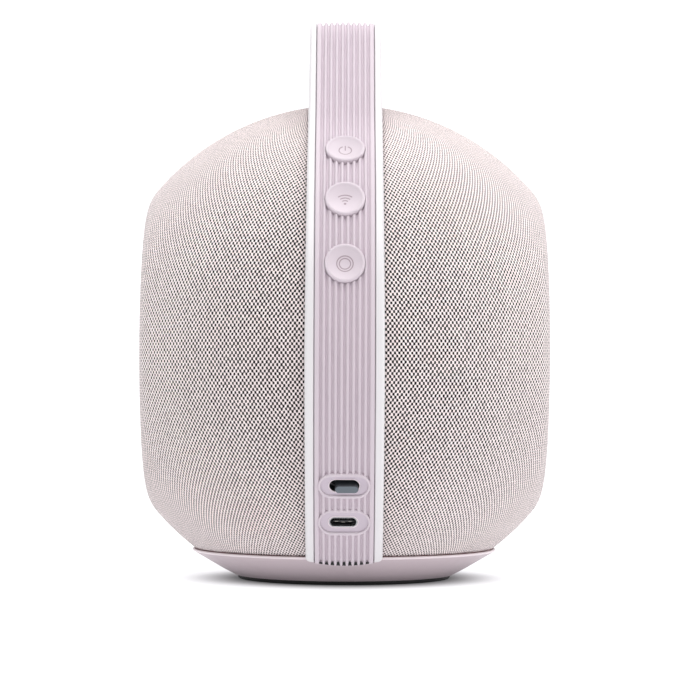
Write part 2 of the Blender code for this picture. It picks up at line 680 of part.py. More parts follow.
def make_base(floor):
    """Dished base with its rubber foot, the floor plate and its four screws."""
    outer = [(0, 1.3), (36.9, 1.3), (41.1, 3.5), (45.7, 6.0), (49.6, 8.5), (51.2, 9.6)]
    top = [(50.8, SEAM_Z), (48.2, SEAM_Z), (44.6, 7.6), (40.5, 5.1), (0, 4.4)]
    base = turned("base_cup", outer + top, BASE_STEPS, "base", floor)
    around_foot = [(28.0, 0.0), (36.1, 0.0), (36.1, 2.5), (28.0, 2.5)]
    recess = turned("foot_recess", around_foot, BASE_STEPS, None, floor)
    cut(base, recess)
    foot = [(28.3, 0.0), (35.8, 0.0), (35.8, 2.2), (28.3, 2.2)]
    turned("foot_ring", foot, BASE_STEPS, "black_rubber", floor)
    disc = [(0, 10.5), (44.8, 10.5), (44.8, 12.3), (0, 12.3)]
    plate = turned("floor_plate", disc, 32, "black_plastic", floor)
    for i in range(4):
        turn = math.radians(45 + 90 * i)
        spot = Vector((22.0 * math.cos(turn), 22.0 * math.sin(turn), 0.0)) * MM
        counterbore = [(0, 0), (2.8, 0), (2.8, 2.9), (1.55, 2.9), (1.55, 15.0), (0, 15.0)]
        bore = turned(f"base_bore_{i}", counterbore, 12, None, floor)
        screw = make_screw(f"base_screw_{i + 1}", 2.4, (1.5, 2.6), 1.25, (2.6, 12.0), floor)
        bore.location = spot
        screw.location = spot
        cut(base, bore)
        cut(plate, bore)


def main():
    clear_scene()
    floor = bpy.data.objects.new("floor_frame", None)
    ball = bpy.data.objects.new("ball_frame", None)
    for empty in (floor, ball):
        bpy.context.scene.collection.objects.link(empty)
    ball.parent = floor
    ball.location = (0.0, 0.0, CENTRE_Z * MM)
    make_chassis(ball)
    make_hoop(ball)
    make_hoop_screws(ball)
    make_buttons(ball)
    make_mic_switch(ball)
    make_usb_socket(ball)
    make_top_panel(ball)
    make_fabrics(ball)
    make_grilles(ball)
    make_cabinets(ball)
    for tag, side in WOOFER_SIDES.items():
        make_woofer(tag, side, ball)
    for spot, (sx, sy) in FULLRANGE_SPOTS.items():
        make_fullrange(spot, sx, sy, ball)
    make_electronics(ball)
    make_base(floor)


main()
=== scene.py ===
import math

import bmesh
import bpy
import numpy as np
from mathutils import Matrix, Vector


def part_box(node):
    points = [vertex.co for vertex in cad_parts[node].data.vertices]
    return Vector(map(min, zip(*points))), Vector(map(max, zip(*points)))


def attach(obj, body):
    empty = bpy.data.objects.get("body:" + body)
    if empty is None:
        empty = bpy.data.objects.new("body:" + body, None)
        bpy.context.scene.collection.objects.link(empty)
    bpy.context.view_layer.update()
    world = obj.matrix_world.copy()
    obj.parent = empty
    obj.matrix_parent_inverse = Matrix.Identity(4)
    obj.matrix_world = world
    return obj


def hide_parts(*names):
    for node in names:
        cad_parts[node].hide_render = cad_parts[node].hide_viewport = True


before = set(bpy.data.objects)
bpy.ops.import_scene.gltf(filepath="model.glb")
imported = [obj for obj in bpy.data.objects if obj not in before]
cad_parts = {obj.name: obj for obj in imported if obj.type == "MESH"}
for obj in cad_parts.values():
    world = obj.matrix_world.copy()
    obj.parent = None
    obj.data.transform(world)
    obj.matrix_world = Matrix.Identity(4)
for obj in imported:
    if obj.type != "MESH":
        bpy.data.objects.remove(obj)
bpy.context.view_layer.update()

MM = 0.001
MAIN_BODY = "speaker_body"

# --- dimensions repeated from the CAD source, mm and degrees ----------------------------------------
BODY_R = 83.2  # ball radius over the fabric
HALF_WIDTH = 68.1
CAP_EDGE_R = 50.5
HOOP_R = 88.0  # hoop radius over the ribs
HANDLE_TOP = 111.0
GAP = 0.3
SEAM_Z = 10.2
SEAM_GAP = 0.2  # from the seam up to the fabric's edge
FABRIC_T = 0.8
SHELL_START_X = 11.9

HOOP_FOOT_ANGLE = -51.7
NECK_ANGLE = 54.0
NECK_R = 35.0
LEG_ANGLE = 37.0
SHOULDER_R = 14.0
CROWN_ANGLE = 82.0
HANDLE_T = 6.5

FRAME_HALF = 12.5
FRAME_TAPER_UP = 0.7
FRAME_TAPER_DOWN = 0.2
STRIP_HALF = 9.3
STRIP_T = 2.3
CHANNEL_DEPTH = 2.6
STRIP_CROWN = 0.45

BUTTON_ANGLES = {"power_button": 47.0, "pairing_button": 32.8, "link_button": 17.9}
BUTTON_R = 6.35
BUTTON_HOLE_R = 6.5
BUTTON_BASE = -1.5
STEM_R = 2.2
STEM_END = -4.3
SWITCH_ANGLE = -29.0
PORT_ANGLE = -38.2
PORT_RIM_FACING = -28.0
SOCKET_FACING = -16.6
SOCKET_X = -0.3
SWITCH_RIM, SWITCH_RECESS = (8.25, 4.5), (7.4, 3.25)
PORT_RIM, PORT_RECESS = (8.25, 4.75), (7.5, 3.5)
PILL_RIM_TOP = 0.15
RECESS_FLOOR = -0.45
SLOT_HALF = (4.75, 2.2)
KNOB_HALF = (3.7, 1.3)
KNOB_LOW = 0.4
KNOB_REST_X = 0.75
KNOB_HEIGHTS = (-5.0, 1.3)
WELL_FLOOR = -3.4  # dust plate under the slide knob
USB_HALF = (4.47, 1.63)
USB_WALL = 0.3
USB_DEPTH = 7.0
USB_LIP = 0.25

HOOP_SCREW_ANGLES = (-46.0, 56.0, 130.0, 222.0)
PANEL_IN, PANEL_OUT = 83.5, 84.8
PANEL_HALF = 11.6
PANEL_ANGLES = (64.5, 115.5)

# --- surface detail that the CAD leaves out ------------------------------------------------------------
RIBS = 10
RIB_PITCH = 2 * STRIP_HALF / RIBS
RIB_DEPTH = 1.05
RIB_STEEPNESS, RIB_BIAS = 1.5, 0.25  # how square a rib is, and how much wider it is than its groove
BASE_STEPS = 144  # round the base and the foot
SHADE_BAR_TOP, SHADE_BAR_FLOOR = -0.12, -0.66  # heights of the black bar that darkens the grooves' ends: painted shade of the gap behind the hoop's tips
SHADE_BAR_BACKS = ((0.05, 0.08), (0.1, 0.0), (0.32, 0.0), (0.38, 0.08))  # (distance from the tip, rounding)
STRIP_SWELL = 0.09  # how far the soft strip bulges into its gap on each side
TIP_BOW, TIP_FADE = 1.6, 12.0  # how far the hoop's tips curve back at the sides, and over what length
STITCH_PITCH = 1.38  # from column to column of the knit
COURSE_PITCH = 0.963  # from row to row
PORE_EDGE = 0.78  # where a pore begins, on a scale from -1 between pores to 1 in a pore's middle
PORE_BLUR = 0.09  # how wide a pore's soft edge is, on the same scale
PORE_GROWTH = 0.82  # how far that edge falls where the knit is fully open

BALL = sum(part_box("woofer_magnet_left"), Vector()) / 2
BALL.x = 0.0
BALL_FRAME = Matrix.Translation(BALL) @ Matrix.Scale(MM, 4)
FLOOR_FRAME = Matrix.Scale(MM, 4)


# --- mesh helpers ----------------------------------------------------------------------------------------


def skin(rings, wrap=False):
    """Vertices and faces that join equal closed rings of points. Ends are closed, or joined to each other."""
    count = len(rings[0])
    points = [tuple(point) for ring in rings for point in ring]
    pairs = [(i, i + 1) for i in range(len(rings) - 1)]
    if wrap:
        pairs.append((len(rings) - 1, 0))
    faces = []
    for low, high in pairs:
        for i in range(count):
            j = (i + 1) % count
            faces.append((low * count + i, low * count + j, high * count + j, high * count + i))
    if not wrap:
        faces.append(tuple(range(count)))
        faces.append(tuple(range(len(points) - count, len(points))))
    return points, faces


def combined(shapes):
    """Several (points, faces) shapes as one."""
    points, faces = [], []
    for some_points, some_faces in shapes:
        first = len(points)
        points += some_points
        faces += [tuple(first + i for i in face) for face in some_faces]
    return points, faces


def add_mesh(name, shape, place, sharp=35.0):
    """A shaded object in the row frame from (points, faces) in millimetres. place is where it stands."""
    mesh = bpy.data.meshes.new(name)
    mesh.from_pydata(shape[0], [], shape[1])
    bm = bmesh.new()
    bm.from_mesh(mesh)
    bmesh.ops.remove_doubles(bm, verts=bm.verts, dist=1e-4)
    bmesh.ops.dissolve_degenerate(bm, edges=bm.edges, dist=1e-5)
    bmesh.ops.recalc_face_normals(bm, faces=bm.faces)
    bm.to_mesh(mesh)
    bm.free()
    mesh.transform(place)
    shade(mesh, sharp)
    obj = bpy.data.objects.new(name, mesh)
    bpy.context.scene.collection.objects.link(obj)
    return obj


def shade(mesh, sharp=35.0):
    mesh.shade_smooth()
    mesh.set_sharp_from_angle(angle=math.radians(sharp))


def dress(obj, look, body=MAIN_BODY):
    """Gives a finished piece its material and the body it rides on."""
    obj.data.materials.clear()
    obj.data.materials.append(look)
    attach(obj, body)
    return obj


def carve(obj, cutters, sharp=35.0):
    """Cuts the cutters out of obj for good and removes them."""
    for cutter in cutters:
        modifier = obj.modifiers.new(cutter.name, "BOOLEAN")
        modifier.operation = "DIFFERENCE"
        modifier.solver = "EXACT"
        modifier.object = cutter
    bpy.context.view_layer.update()
    result = bpy.data.meshes.new_from_object(obj.evaluated_get(bpy.context.evaluated_depsgraph_get()))
    obj.modifiers.clear()
    obj.data = result
    shade(result, sharp)
    for cutter in cutters:
        bpy.data.objects.remove(cutter)


def rounded(corners, steps=5):
    """An open line through (u, v, radius) corners, each rounded by an arc of its radius."""
    line = [Vector(corners[0][:2])]
    for before, corner, after in zip(corners, corners[1:], corners[2:]):
        spot = Vector(corner[:2])
        if corner[2] == 0:
            line.append(spot)
            continue
        back = (Vector(before[:2]) - spot).normalized()
        ahead = (Vector(after[:2]) - spot).normalized()
        half = back.angle(ahead) / 2
        centre = spot + (back + ahead).normalized() * corner[2] / math.sin(half)
        start = spot + back * corner[2] / math.tan(half) - centre
        turn = start.angle_signed(spot + ahead * corner[2] / math.tan(half) - centre)
        for i in range(steps + 1):
            line.append(centre + Matrix.Rotation(-turn * i / steps, 2) @ start)
    line.append(Vector(corners[-1][:2]))
    return [tuple(point) for point in line]


def turned(profile, steps, wrap=False):
    """Skins (radius, height) points round the Z axis."""
    turns = [math.tau * i / steps for i in range(steps)]
    rings = [[(r * math.cos(t), r * math.sin(t), h) for t in turns] for r, h in profile]
    return skin(rings, wrap)


def pill(half_length, half_height, height, arc_steps=16):
    """Ring of points with half-round ends, its long side along X."""
    reach = half_length - half_height
    points = []
    for side, first in ((1, -90), (-1, 90)):
        for i in range(arc_steps + 1):
            turn = math.radians(first + 180 * i / arc_steps)
            x = side * reach + half_height * math.cos(turn)
            points.append((x, half_height * math.sin(turn), height))
    return points


def pills(half, line, wrap=False):
    """Skins pill rings set in from half by (inset, height) points."""
    return skin([pill(half[0] - inset, half[1] - inset, height) for inset, height in line], wrap)


def on_ring(angle, x, radius):
    turn = math.radians(angle)
    return (x, -radius * math.cos(turn), radius * math.sin(turn))


def hoop_place(angle, x=0.0, facing=None, height=0.0):
    """Frame on the hoop at that angle above the rear horizon, Z outwards or at facing, and X to the right."""
    stand = Matrix.Rotation(math.radians(90.0 - (angle if facing is None else facing)), 4, "X")
    return BALL_FRAME @ Matrix.Translation(on_ring(angle, x, HOOP_R + height)) @ stand


def side_place(side):
    """Frame in the ball's centre whose Z points to the left (-1) or right (1)."""
    return BALL_FRAME @ Matrix.Rotation(side * math.pi / 2, 4, "Y")


# --- node helpers ----------------------------------------------------------------------------------------


def add_node(tree, kind, inputs=(), **settings):
    """A node with its settings and inputs, where an input is a value or another node's output."""
    made = tree.nodes.new(kind)
    for key, value in settings.items():
        setattr(made, key, value)
    for key, value in dict(inputs).items():
        if isinstance(value, bpy.types.NodeSocket):
            tree.links.new(value, made.inputs[key])
        else:
            made.inputs[key].default_value = value
    return made


def maths(tree, operation, *values):
    return add_node(tree, "ShaderNodeMath", enumerate(values), operation=operation).outputs[0]


def smooth_step(tree, value, low, high, out_low=0.0, out_high=1.0):
    inputs = {"Value": value, "From Min": low, "From Max": high, "To Min": out_low, "To Max": out_high}
    return add_node(tree, "ShaderNodeMapRange", inputs, interpolation_type="SMOOTHSTEP").outputs[0]


def mix_colours(tree, factor, first, second):
    inputs = {0: factor, 6: first, 7: second}
    return add_node(tree, "ShaderNodeMix", inputs, data_type="RGBA").outputs[2]


def object_coords(tree):
    return add_node(tree, "ShaderNodeTexCoord").outputs["Object"]


def noise(tree, size_mm, detail=3.0, vector=None, stretch=None):
    """Noise whose blotches are about size_mm across. stretch scales the coordinates along each axis."""
    coords = vector or object_coords(tree)
    if stretch:
        coords = add_node(tree, "ShaderNodeMapping", {"Vector": coords, "Scale": stretch}).outputs[0]
    inputs = {"Vector": coords, "Scale": 1 / (size_mm * MM), "Detail": detail, "Roughness": 0.6}
    return add_node(tree, "ShaderNodeTexNoise", inputs).outputs[0]


def new_material(name, roughness, metallic=0.0):
    made = bpy.data.materials.new(name)
    made.use_nodes = True
    shader = made.node_tree.nodes["Principled BSDF"]
    shader.inputs["Metallic"].default_value = metallic
    shader.inputs["Roughness"].default_value = roughness
    return made, made.node_tree, shader


def rgba(colour, share=1.0):
    return (*(min(1.0, channel * share) for channel in colour), 1.0)


def add_bump(tree, shader, height, distance_mm, strength=1.0):
    inputs = {"Height": height, "Distance": distance_mm * MM, "Strength": strength}
    bump = add_node(tree, "ShaderNodeBump", inputs)
    tree.links.new(bump.outputs[0], shader.inputs["Normal"])


def moulded(name, colour, roughness, grain_mm, grain_depth_mm, metallic=0.0, shade_range=0.05, stretch=None):
    """Moulded, sprayed or drawn surface: faint cloudy colour, uneven gloss and a fine grain."""
    made, tree, shader = new_material(name, roughness, metallic)
    clouds = noise(tree, 14.0, 4.0)
    tone = mix_colours(tree, clouds, rgba(colour, 1 - shade_range), rgba(colour, 1 + shade_range))
    tree.links.new(tone, shader.inputs["Base Color"])
    wipe = noise(tree, 4.0, 5.0)
    gloss = smooth_step(tree, wipe, 0.3, 0.7, roughness - 0.05, roughness + 0.07)
    tree.links.new(gloss, shader.inputs["Roughness"])
    grain = noise(tree, grain_mm, 2.0, stretch=stretch)
    add_bump(tree, shader, grain, grain_depth_mm)
    return made, tree, shader


def soft_rubber(name, colour):
    """Silicone-like rubber: matte, with a soft sheen and a barely visible grain."""
    made, _, shader = moulded(name, colour, 0.52, 0.16, 0.012, shade_range=0.025)
    shader.inputs["Sheen Weight"].default_value = 0.12
    shader.inputs["Sheen Roughness"].default_value = 0.4
    shader.inputs["Specular IOR Level"].default_value = 0.4
    return made


def satin_plastic(name, colour):
    made, _, shader = moulded(name, colour, 0.36, 0.22, 0.006, shade_range=0.012)
    shader.inputs["Coat Weight"].default_value = 0.12
    shader.inputs["Coat Roughness"].default_value = 0.3
    return made


def circuit_board():
    """Green solder mask over copper traces, with a grid of small parts hinted by lighter patches."""
    made, tree, shader = new_material("board", 0.4)
    coords = object_coords(tree)
    traces = add_node(tree, "ShaderNodeTexBrick", {"Vector": coords, "Scale": 260.0, "Mortar Size": 0.03})
    mask = mix_colours(tree, traces.outputs["Fac"], (0.02, 0.15, 0.07, 1), (0.05, 0.26, 0.12, 1))
    tree.links.new(mask, shader.inputs["Base Color"])
    add_bump(tree, shader, traces.outputs["Fac"], 0.05, 0.6)
    shader.inputs["Coat Weight"].default_value = 0.3
    return made


def battery_sleeve():
    """Blue shrink film over three cells: vertical creases and a glossy skin."""
    blue, creases = (0.05, 0.16, 0.42), (1, 0.2, 3)
    made, _, shader = moulded("battery", blue, 0.28, 3.0, 0.12, shade_range=0.12, stretch=creases)
    shader.inputs["Coat Weight"].default_value = 0.4
    return made


YARN_CLOSED = (0.98, 0.855, 0.84, 1)  # lightest yarn where the knit is closed
YARN_OPEN = (1.0, 0.895, 0.89, 1)  # and where it is fully open
YARN_ROSE = (0.62, 0.49, 0.49, 1)
# painted shade: the darker tone the yarn takes in the hollows towards the pores
VALLEY_SHADE = (0.50, 0.33, 0.33, 1)
PORE_DARK = (0.006, 0.004, 0.004, 1)


def knit():
    """Stretched knit: staggered pores between cream and rose yarns, with painted shade in the hollows towards
    the pores, from the piece's knit coordinates.
    """
    made, tree, shader = new_material("fabric", 0.88)
    lattice = add_node(tree, "ShaderNodeUVMap", uv_map="knit").outputs[0]
    split = add_node(tree, "ShaderNodeSeparateXYZ", {0: lattice})
    drift = noise(tree, 2.6, 2.0)
    column = maths(tree, "ADD", split.outputs[0], maths(tree, "MULTIPLY", drift, 0.16))
    row = maths(tree, "ADD", split.outputs[1], maths(tree, "MULTIPLY", drift, -0.2))
    across = maths(tree, "COSINE", maths(tree, "MULTIPLY", column, math.tau))
    along = maths(tree, "COSINE", maths(tree, "MULTIPLY", row, math.pi))
    field = maths(tree, "MULTIPLY", across, along)
    fuzz = noise(tree, 0.22, 2.0)
    frayed = maths(tree, "ADD", field, maths(tree, "MULTIPLY_ADD", fuzz, 0.7, -0.35))

    yarn_tone = noise(tree, 0.7, 1.0)
    openness = add_node(tree, "ShaderNodeAttribute", attribute_name="openness").outputs["Fac"]
    lightest = mix_colours(tree, openness, YARN_CLOSED, YARN_OPEN)
    rose = smooth_step(tree, yarn_tone, 0.35, 0.65, 0.0, 0.24)
    yarn = mix_colours(tree, rose, lightest, YARN_ROSE)
    # Painted shade: the yarn darkens towards the pores, where the knit's hollows lie in shade.
    valley_shade = smooth_step(tree, frayed, -0.4, 0.6, 0.0, 0.24)
    shaded = mix_colours(tree, valley_shade, yarn, VALLEY_SHADE)
    uneven = maths(tree, "MULTIPLY_ADD", noise(tree, 1.0, 1.0), 0.6, -0.3)
    beyond = maths(tree, "ADD", maths(tree, "MULTIPLY_ADD", openness, PORE_GROWTH, frayed), uneven)
    pore = smooth_step(tree, beyond, PORE_EDGE, PORE_EDGE + PORE_BLUR)
    colour = mix_colours(tree, pore, shaded, PORE_DARK)
    tree.links.new(colour, shader.inputs["Base Color"])
    gloss = smooth_step(tree, fuzz, 0.3, 0.7, 0.8, 0.95)
    tree.links.new(gloss, shader.inputs["Roughness"])
    height = maths(tree, "MULTIPLY_ADD", frayed, -0.5, 0.5)
    add_bump(tree, shader, height, 0.28, 0.8)
    shader.inputs["Sheen Weight"].default_value = 0.3
    shader.inputs["Sheen Roughness"].default_value = 0.5
    shader.inputs["Specular IOR Level"].default_value = 0.2
    return made


def make_looks():
    """Every material of the object, by the record's slot name, with a few for details."""
    fins = (1, 8, 1)
    return {
        "fabric": knit(),
        "frame": satin_plastic("frame", (0.745, 0.722, 0.737)),
        "rubber": soft_rubber("rubber", (0.625, 0.547, 0.597)),
        "base": satin_plastic("base", (0.56, 0.465, 0.50)),
        "black_rubber": moulded("black_rubber", (0.012, 0.012, 0.013), 0.6, 0.3, 0.03, shade_range=0.2)[0],
        "grey_plastic": moulded("grey_plastic", (0.115, 0.137, 0.16), 0.42, 0.15, 0.01)[0],
        "black_plastic": moulded("black_plastic", (0.016, 0.017, 0.02), 0.5, 0.25, 0.02, shade_range=0.15)[0],
        "cone": moulded("cone", (0.52, 0.53, 0.55), 0.34, 0.2, 0.008, metallic=0.9, stretch=(1, 1, 6))[0],
        "steel": moulded("steel", (0.58, 0.58, 0.60), 0.3, 0.12, 0.006, metallic=1.0, stretch=(6, 1, 1))[0],
        "board": circuit_board(),
        "heatsink": moulded("heatsink", (0.48, 0.48, 0.50), 0.42, 0.2, 0.02, metallic=0.9, stretch=fins)[0],
        "battery": battery_sleeve(),
        # The knob's grey plastic darkened: painted shade on its sides, down in the slot.
        "knob_side_shade": moulded("knob_side_shade", (0.03, 0.034, 0.04), 0.45, 0.15, 0.01)[0],
        "seam": moulded("seam", (0.16, 0.06, 0.06), 0.7, 0.15, 0.01)[0],
        # The rubber's tone darkened, and a little more purple, for the trays' recessed floors: painted shade
        # of the recess.
        "plate": satin_plastic("plate", (0.565, 0.485, 0.555)),
        # A lighter copy of the base's tone: painted highlight along the base's lip and round the trays'
        # openings.
        "trim": satin_plastic("trim", (0.88, 0.78, 0.81)),
        # The rubber's tone darkened for the buttons' and the touch strip's marks: painted shade along their
        # lines.
        "mark_shade": moulded("mark_shade", (0.36, 0.28, 0.315), 0.6, 0.2, 0.01)[0],
        "contacts": moulded("contacts", (0.42, 0.40, 0.36), 0.35, 0.1, 0.004, metallic=1.0)[0],
    }


LOOKS = make_looks()


# --- hoop ----------------------------------------------------------------------------------------------


def arc_points(centre, radius, start, end, steps, hollow=False):
    """(reach, height, facing) along an arc, its first point left out. A hollow arc faces its centre."""
    side = -1 if hollow else 1
    found = []
    for i in range(1, steps + 1):
        facing = start + (end - start) * i / steps
        turn = math.radians(facing)
        reach = centre[0] + side * radius * math.cos(turn)
        height = centre[1] + side * radius * math.sin(turn)
        found.append((reach, height, facing))
    return found


def straight_points(start, end, facing, steps):
    """(reach, height, facing) along a line, its first point left out."""
    shares = [i / steps for i in range(1, steps + 1)]
    return [(start[0] + (end[0] - start[0]) * s, start[1] + (end[1] - start[1]) * s, facing) for s in shares]


def half_hoop(ball_steps=70, neck_steps=8, leg_steps=8, shoulder_steps=14, crown_steps=9):
    """The hoop's outer line from its foot to the middle of the handle: (reach, height, facing)."""
    neck, leg, crown = (math.radians(a) for a in (NECK_ANGLE, LEG_ANGLE, CROWN_ANGLE))
    foot = math.radians(HOOP_FOOT_ANGLE)
    points = [(HOOP_R * math.cos(foot), HOOP_R * math.sin(foot), HOOP_FOOT_ANGLE)]
    points += arc_points((0, 0), HOOP_R, HOOP_FOOT_ANGLE, NECK_ANGLE, ball_steps)
    hub = HOOP_R + NECK_R
    neck_centre = (hub * math.cos(neck), hub * math.sin(neck))
    points += arc_points(neck_centre, NECK_R, NECK_ANGLE, LEG_ANGLE, neck_steps, hollow=True)
    reach, height, _ = points[-1]
    # The leg is as long as it takes for the crown to reach the handle's top.
    rise = (1 - math.sin(crown)) / math.cos(crown)
    shoulder_in = SHOULDER_R * (math.cos(leg) - math.cos(crown))
    shoulder_up = SHOULDER_R * (math.sin(crown) - math.sin(leg))
    missing = HANDLE_TOP - height - shoulder_up - rise * (reach - shoulder_in)
    length = missing / (math.cos(leg) - rise * math.sin(leg))
    leg_end = (reach - length * math.sin(leg), height + length * math.cos(leg))
    points += straight_points((reach, height), leg_end, LEG_ANGLE, leg_steps)
    shoulder_centre = (leg_end[0] - SHOULDER_R * math.cos(leg), leg_end[1] - SHOULDER_R * math.sin(leg))
    points += arc_points(shoulder_centre, SHOULDER_R, LEG_ANGLE, CROWN_ANGLE, shoulder_steps)
    crown_r = points[-1][0] / math.cos(crown)
    points += arc_points((0, HANDLE_TOP - crown_r), crown_r, CROWN_ANGLE, 90.0, crown_steps)
    return points


def inner_depth(reach, height, facing):
    """How far inwards the frame goes: to the ball's fabric, or to the handle's own thickness."""
    turn = math.radians(facing)
    along = reach * math.cos(turn) + height * math.sin(turn)
    rest = along**2 - (reach**2 + height**2 - (BODY_R + GAP) ** 2)
    if rest <= 0:
        return HANDLE_T
    return min(HANDLE_T, along - math.sqrt(rest))


def frame_half(height):
    if height > 0:
        return FRAME_HALF - FRAME_TAPER_UP * height / HANDLE_TOP
    return FRAME_HALF + FRAME_TAPER_DOWN * height / HOOP_R


def frame_section(half, depth):
    """(x, height) loop of the frame: a channel for the strip between two rims with rounded edges."""
    lip = STRIP_HALF + GAP
    shallow = HOOP_R - BODY_R - GAP
    free = min(1.0, max(0.0, (depth - shallow) / (HANDLE_T - shallow)))
    free = free * free * (3 - 2 * free)
    corner = 0.2 + 1.6 * free
    bend = 1.0 - 1.4 * free
    sag = [bend * x**2 / (2 * BODY_R) for x in (half, half / 2)]
    line = [(lip, -CHANNEL_DEPTH, 0), (lip, -0.5, 0.5), (half, -0.62, 1.3), (half, -depth - sag[0], corner)]
    line.append((half / 2, -depth - sag[1], 0))
    right = rounded(line, 6)
    left = [(-x, height) for x, height in reversed(right)]
    return right + left


def rib_height(x):
    """Height of the strip's face: ribs with grooves between them, over a slightly crowned strip."""
    crown = -STRIP_CROWN * (x / STRIP_HALF) ** 2
    if abs(x) > STRIP_HALF - RIB_PITCH / 2:
        return crown
    wave = math.tanh(RIB_STEEPNESS * math.cos(math.tau * (x / RIB_PITCH - 0.5)) + RIB_BIAS)
    top, bottom = math.tanh(RIB_STEEPNESS + RIB_BIAS), math.tanh(RIB_STEEPNESS - RIB_BIAS)
    return crown - RIB_DEPTH * (top - wave) / (top + bottom)


def strip_section(points_per_rib=16):
    """(x, height) loop of the strip: its ribbed face over a flat back."""
    count = RIBS * points_per_rib
    xs = [STRIP_HALF - 2 * STRIP_HALF * i / count for i in range(count + 1)]
    face = [(x, rib_height(x)) for x in xs[1:-1]]
    side = STRIP_HALF + STRIP_SWELL
    edge = rounded([(side, -STRIP_T, 0), (side, -STRIP_CROWN - 0.05, 0.3), face[0]], 4)
    return edge[:-1] + face + [(-x, height) for x, height in reversed(edge[:-1])]


def hoop_rings(section_of, end_round):
    """Rings of points along the whole hoop, whose two ends draw in over end_round millimetres."""
    rear = half_hoop()
    stations = [(-1, *spot) for spot in rear] + [(1, *spot) for spot in rear[-2::-1]]
    steps = 4
    for k in range(1, steps + 1):
        back = end_round * (1 - math.cos(math.pi / 2 * k / steps))
        angle = HOOP_FOOT_ANGLE + math.degrees(back / HOOP_R)
        turn = math.radians(angle)
        spot = (HOOP_R * math.cos(turn), HOOP_R * math.sin(turn), angle)
        stations.insert(k, (-1, *spot))
        stations.insert(len(stations) - k, (1, *spot))
    # The first station lies at the tip and each following one further up, so the order stays one way.
    rings = []
    total = len(stations)
    for i, (side, reach, height, facing) in enumerate(stations):
        near = min(i, total - 1 - i)
        draw = 0.0
        if near < steps:
            draw = end_round * (1 - math.sin(math.acos(max(0.0, 1 - near / steps))))
        turn = math.radians(facing)
        normal = (side * math.cos(turn), math.sin(turn))
        loop = section_of(reach, height, facing)
        low = min(h for _, h in loop)
        ring = []
        for x, h in loop:
            x_in = x * (1 - draw / FRAME_HALF)
            h_in = low + (h - low) * (1 - draw / HANDLE_T)
            ring.append((x_in, side * reach + h_in * normal[0], height + h_in * normal[1]))
        on_ball = math.hypot(reach, height) < HOOP_R + 0.01
        arc = math.radians(facing - HOOP_FOOT_ANGLE) * HOOP_R if on_ball else 2 * TIP_FADE
        rings.append([bowed(*point, arc) for point in ring])
    return rings


def tip_shade_bars(side):
    """A black bar across the strip, just above its end, that darkens the grooves there: painted shade of the
    gap between the hoop's tip and the base.
    """
    half = STRIP_HALF + GAP
    rings = []
    for back, sunk in SHADE_BAR_BACKS:
        turn = math.radians(HOOP_FOOT_ANGLE + math.degrees(back / HOOP_R))
        high = SHADE_BAR_TOP - sunk
        top = [(x, high - STRIP_CROWN * (x / STRIP_HALF) ** 2) for x in np.linspace(half, -half, 13)]
        loop = [(-half, SHADE_BAR_FLOOR), (half, SHADE_BAR_FLOOR), *top]
        ring = [(x, side * (HOOP_R + h) * math.cos(turn), (HOOP_R + h) * math.sin(turn)) for x, h in loop]
        rings.append([bowed(*point, back) for point in ring])
    return skin(rings)


def bowed(x, y, z, arc):
    """Turns a point of the hoop away from its tip, more towards the sides, so that the tip is curved."""
    if arc > TIP_FADE:
        return (x, y, z)
    shift = TIP_BOW * (x / FRAME_HALF) ** 2 * (1 - arc / TIP_FADE) ** 2
    side = -1 if y < 0 else 1
    angle = math.atan2(z, side * y) + shift / HOOP_R
    radius = math.hypot(y, z)
    return (x, side * radius * math.cos(angle), radius * math.sin(angle))


SWITCH_TRAY_PLACE = hoop_place(SWITCH_ANGLE)
PORT_TRAY_PLACE = hoop_place(PORT_ANGLE, facing=PORT_RIM_FACING)
SOCKET_PLACE = hoop_place(PORT_ANGLE, SOCKET_X, SOCKET_FACING, RECESS_FLOOR)


